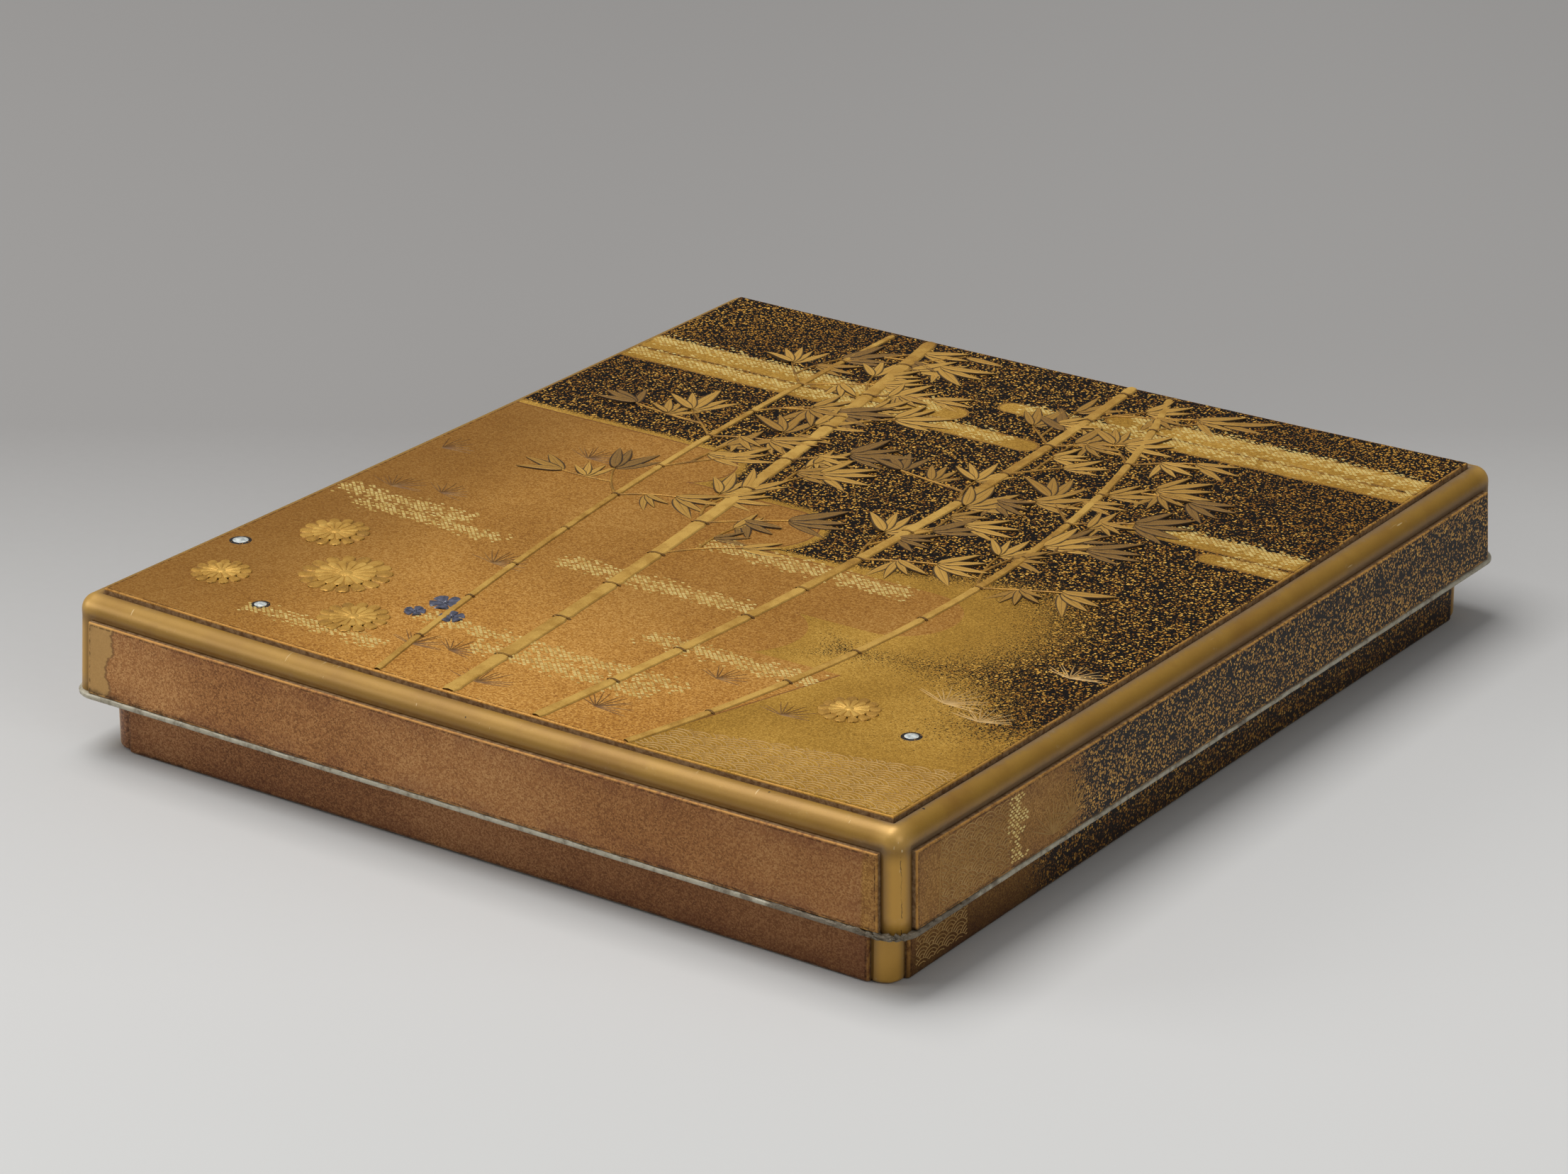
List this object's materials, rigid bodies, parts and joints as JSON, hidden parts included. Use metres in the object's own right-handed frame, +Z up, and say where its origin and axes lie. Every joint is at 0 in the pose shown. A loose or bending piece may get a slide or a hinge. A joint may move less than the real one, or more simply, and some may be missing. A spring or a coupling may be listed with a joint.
{
  "type": "writing box",
  "caption": "Flat rectangular lacquered writing box with an overlapping lid, metal rims, lift-out trays, an inkstone, a water dropper and writing tools inside.",
  "frame": {"origin": "middle of the underside of the base", "axes": "+Z up, +Y from the front edge to the back edge along the box's length, +X to the right"},
  "size_m": [0.22, 0.252, 0.0378],
  "materials": {
    "gold_and_dark_lacquer": "lacquered wood, gold powder field running into dark sprinkled ground, satin",
    "polished_gold_lacquer": "lacquered wood, polished gold powder, softly worn edges",
    "brown_gold_lacquer": "lacquered wood, fine brown gold powder, satin",
    "sprinkled_dark_lacquer": "lacquered wood, near-black ground with dense gold flakes, glossy",
    "black_lacquer": "black lacquered wood with a sparse gold sprinkle, glossy",
    "pewter": "dull grey pewter with a soft tarnish",
    "slate": "fine honed dark slate",
    "silver": "hammered silver with slight tarnish",
    "bamboo": "polished bamboo",
    "brush_hair": "stiffened animal hair, matt",
    "steel": "ground steel",
    "ink": "pressed soot and glue, matt black"
  },
  "bodies": {
    "base": {"base_floor_board": "sprinkled_dark_lacquer", "base_wall_front": "brown_gold_lacquer", "base_wall_right": "sprinkled_dark_lacquer", "base_wall_back": "sprinkled_dark_lacquer", "base_wall_left": "brown_gold_lacquer", "base_corner_front_right": "polished_gold_lacquer", "base_corner_back_right": "polished_gold_lacquer", "base_corner_back_left": "polished_gold_lacquer", "base_corner_front_left": "polished_gold_lacquer", "base_rim_front": "pewter", "base_rim_right": "pewter", "base_rim_back": "pewter", "base_rim_left": "pewter"},
    "lid": {"lid_top_board": "gold_and_dark_lacquer", "lid_moulding_front": "polished_gold_lacquer", "lid_moulding_right": "polished_gold_lacquer", "lid_moulding_back": "polished_gold_lacquer", "lid_moulding_left": "polished_gold_lacquer", "lid_corner_front_right": "polished_gold_lacquer", "lid_corner_back_right": "polished_gold_lacquer", "lid_corner_back_left": "polished_gold_lacquer", "lid_corner_front_left": "polished_gold_lacquer", "lid_wall_front": "brown_gold_lacquer", "lid_wall_right": "sprinkled_dark_lacquer", "lid_wall_back": "sprinkled_dark_lacquer", "lid_wall_left": "brown_gold_lacquer", "lid_rim_front": "pewter", "lid_rim_right": "pewter", "lid_rim_back": "pewter", "lid_rim_left": "pewter"},
    "stone_board": {"inkstone_board": "sprinkled_dark_lacquer", "inkstone_surround": "sprinkled_dark_lacquer"},
    "stone": {"inkstone": "slate"},
    "water_dropper": {"water_dropper_plate": "silver", "water_dropper_shell": "silver"},
    "left_tray": {"left_tray_floor": "black_lacquer", "left_tray_wall_left": "black_lacquer", "left_tray_wall_right": "black_lacquer", "left_tray_wall_front": "black_lacquer", "left_tray_wall_back": "black_lacquer", "brush_rest_front": "black_lacquer", "brush_rest_back": "black_lacquer"},
    "right_tray": {"right_tray_floor": "black_lacquer", "right_tray_wall_left": "black_lacquer", "right_tray_wall_right": "black_lacquer", "right_tray_wall_front": "black_lacquer", "right_tray_wall_back": "black_lacquer"},
    "large_brush": {"large_brush_shaft": "bamboo", "large_brush_tip": "brush_hair"},
    "small_brush": {"small_brush_shaft": "bamboo", "small_brush_tip": "brush_hair"},
    "paper_knife": {"paper_knife_handle": "black_lacquer", "paper_knife_blade": "steel"},
    "awl": {"awl_handle": "black_lacquer", "awl_spike": "steel"},
    "ink": {"ink_stick": "ink"}
  },
  "joints": [
    {"name": "lid_lift", "type": "slide", "parent": "base", "child": "lid", "axis": [0, 0, 1], "range_m": [0, 0.12]},
    {"name": "stone_board_lift", "type": "slide", "parent": "base", "child": "stone_board", "axis": [0, 0, 1], "range_m": [0, 0.031]},
    {"name": "inkstone_lift", "type": "slide", "parent": "stone_board", "child": "stone", "axis": [0, 0, 1], "range_m": [0, 0.02]},
    {"name": "water_dropper_lift", "type": "slide", "parent": "stone_board", "child": "water_dropper", "axis": [0, 0, 1], "range_m": [0, 0.02]},
    {"name": "left_tray_lift", "type": "slide", "parent": "base", "child": "left_tray", "axis": [0, 0, 1], "range_m": [0, 0.045]},
    {"name": "right_tray_lift", "type": "slide", "parent": "base", "child": "right_tray", "axis": [0, 0, 1], "range_m": [0, 0.045]},
    {"name": "large_brush_lift", "type": "slide", "parent": "left_tray", "child": "large_brush", "axis": [0, 0, 1], "range_m": [0, 0.02]},
    {"name": "small_brush_lift", "type": "slide", "parent": "left_tray", "child": "small_brush", "axis": [0, 0, 1], "range_m": [0, 0.02]},
    {"name": "paper_knife_lift", "type": "slide", "parent": "right_tray", "child": "paper_knife", "axis": [0, 0, 1], "range_m": [0, 0.02]},
    {"name": "awl_lift", "type": "slide", "parent": "right_tray", "child": "awl", "axis": [0, 0, 1], "range_m": [0, 0.02]},
    {"name": "ink_stick_lift", "type": "slide", "parent": "right_tray", "child": "ink", "axis": [0, 0, 1], "range_m": [0, 0.02]}
  ],
  "couplings": [
    {"joint": "stone_board_lift", "follows": "lid_lift", "ratio": 0.25},
    {"joint": "inkstone_lift", "follows": "lid_lift", "ratio": 0.16},
    {"joint": "water_dropper_lift", "follows": "lid_lift", "ratio": 0.16},
    {"joint": "left_tray_lift", "follows": "lid_lift", "ratio": 0.37},
    {"joint": "right_tray_lift", "follows": "lid_lift", "ratio": 0.37},
    {"joint": "large_brush_lift", "follows": "lid_lift", "ratio": 0.16},
    {"joint": "small_brush_lift", "follows": "lid_lift", "ratio": 0.16},
    {"joint": "paper_knife_lift", "follows": "lid_lift", "ratio": 0.16},
    {"joint": "awl_lift", "follows": "lid_lift", "ratio": 0.16},
    {"joint": "ink_stick_lift", "follows": "lid_lift", "ratio": 0.16}
  ]
}
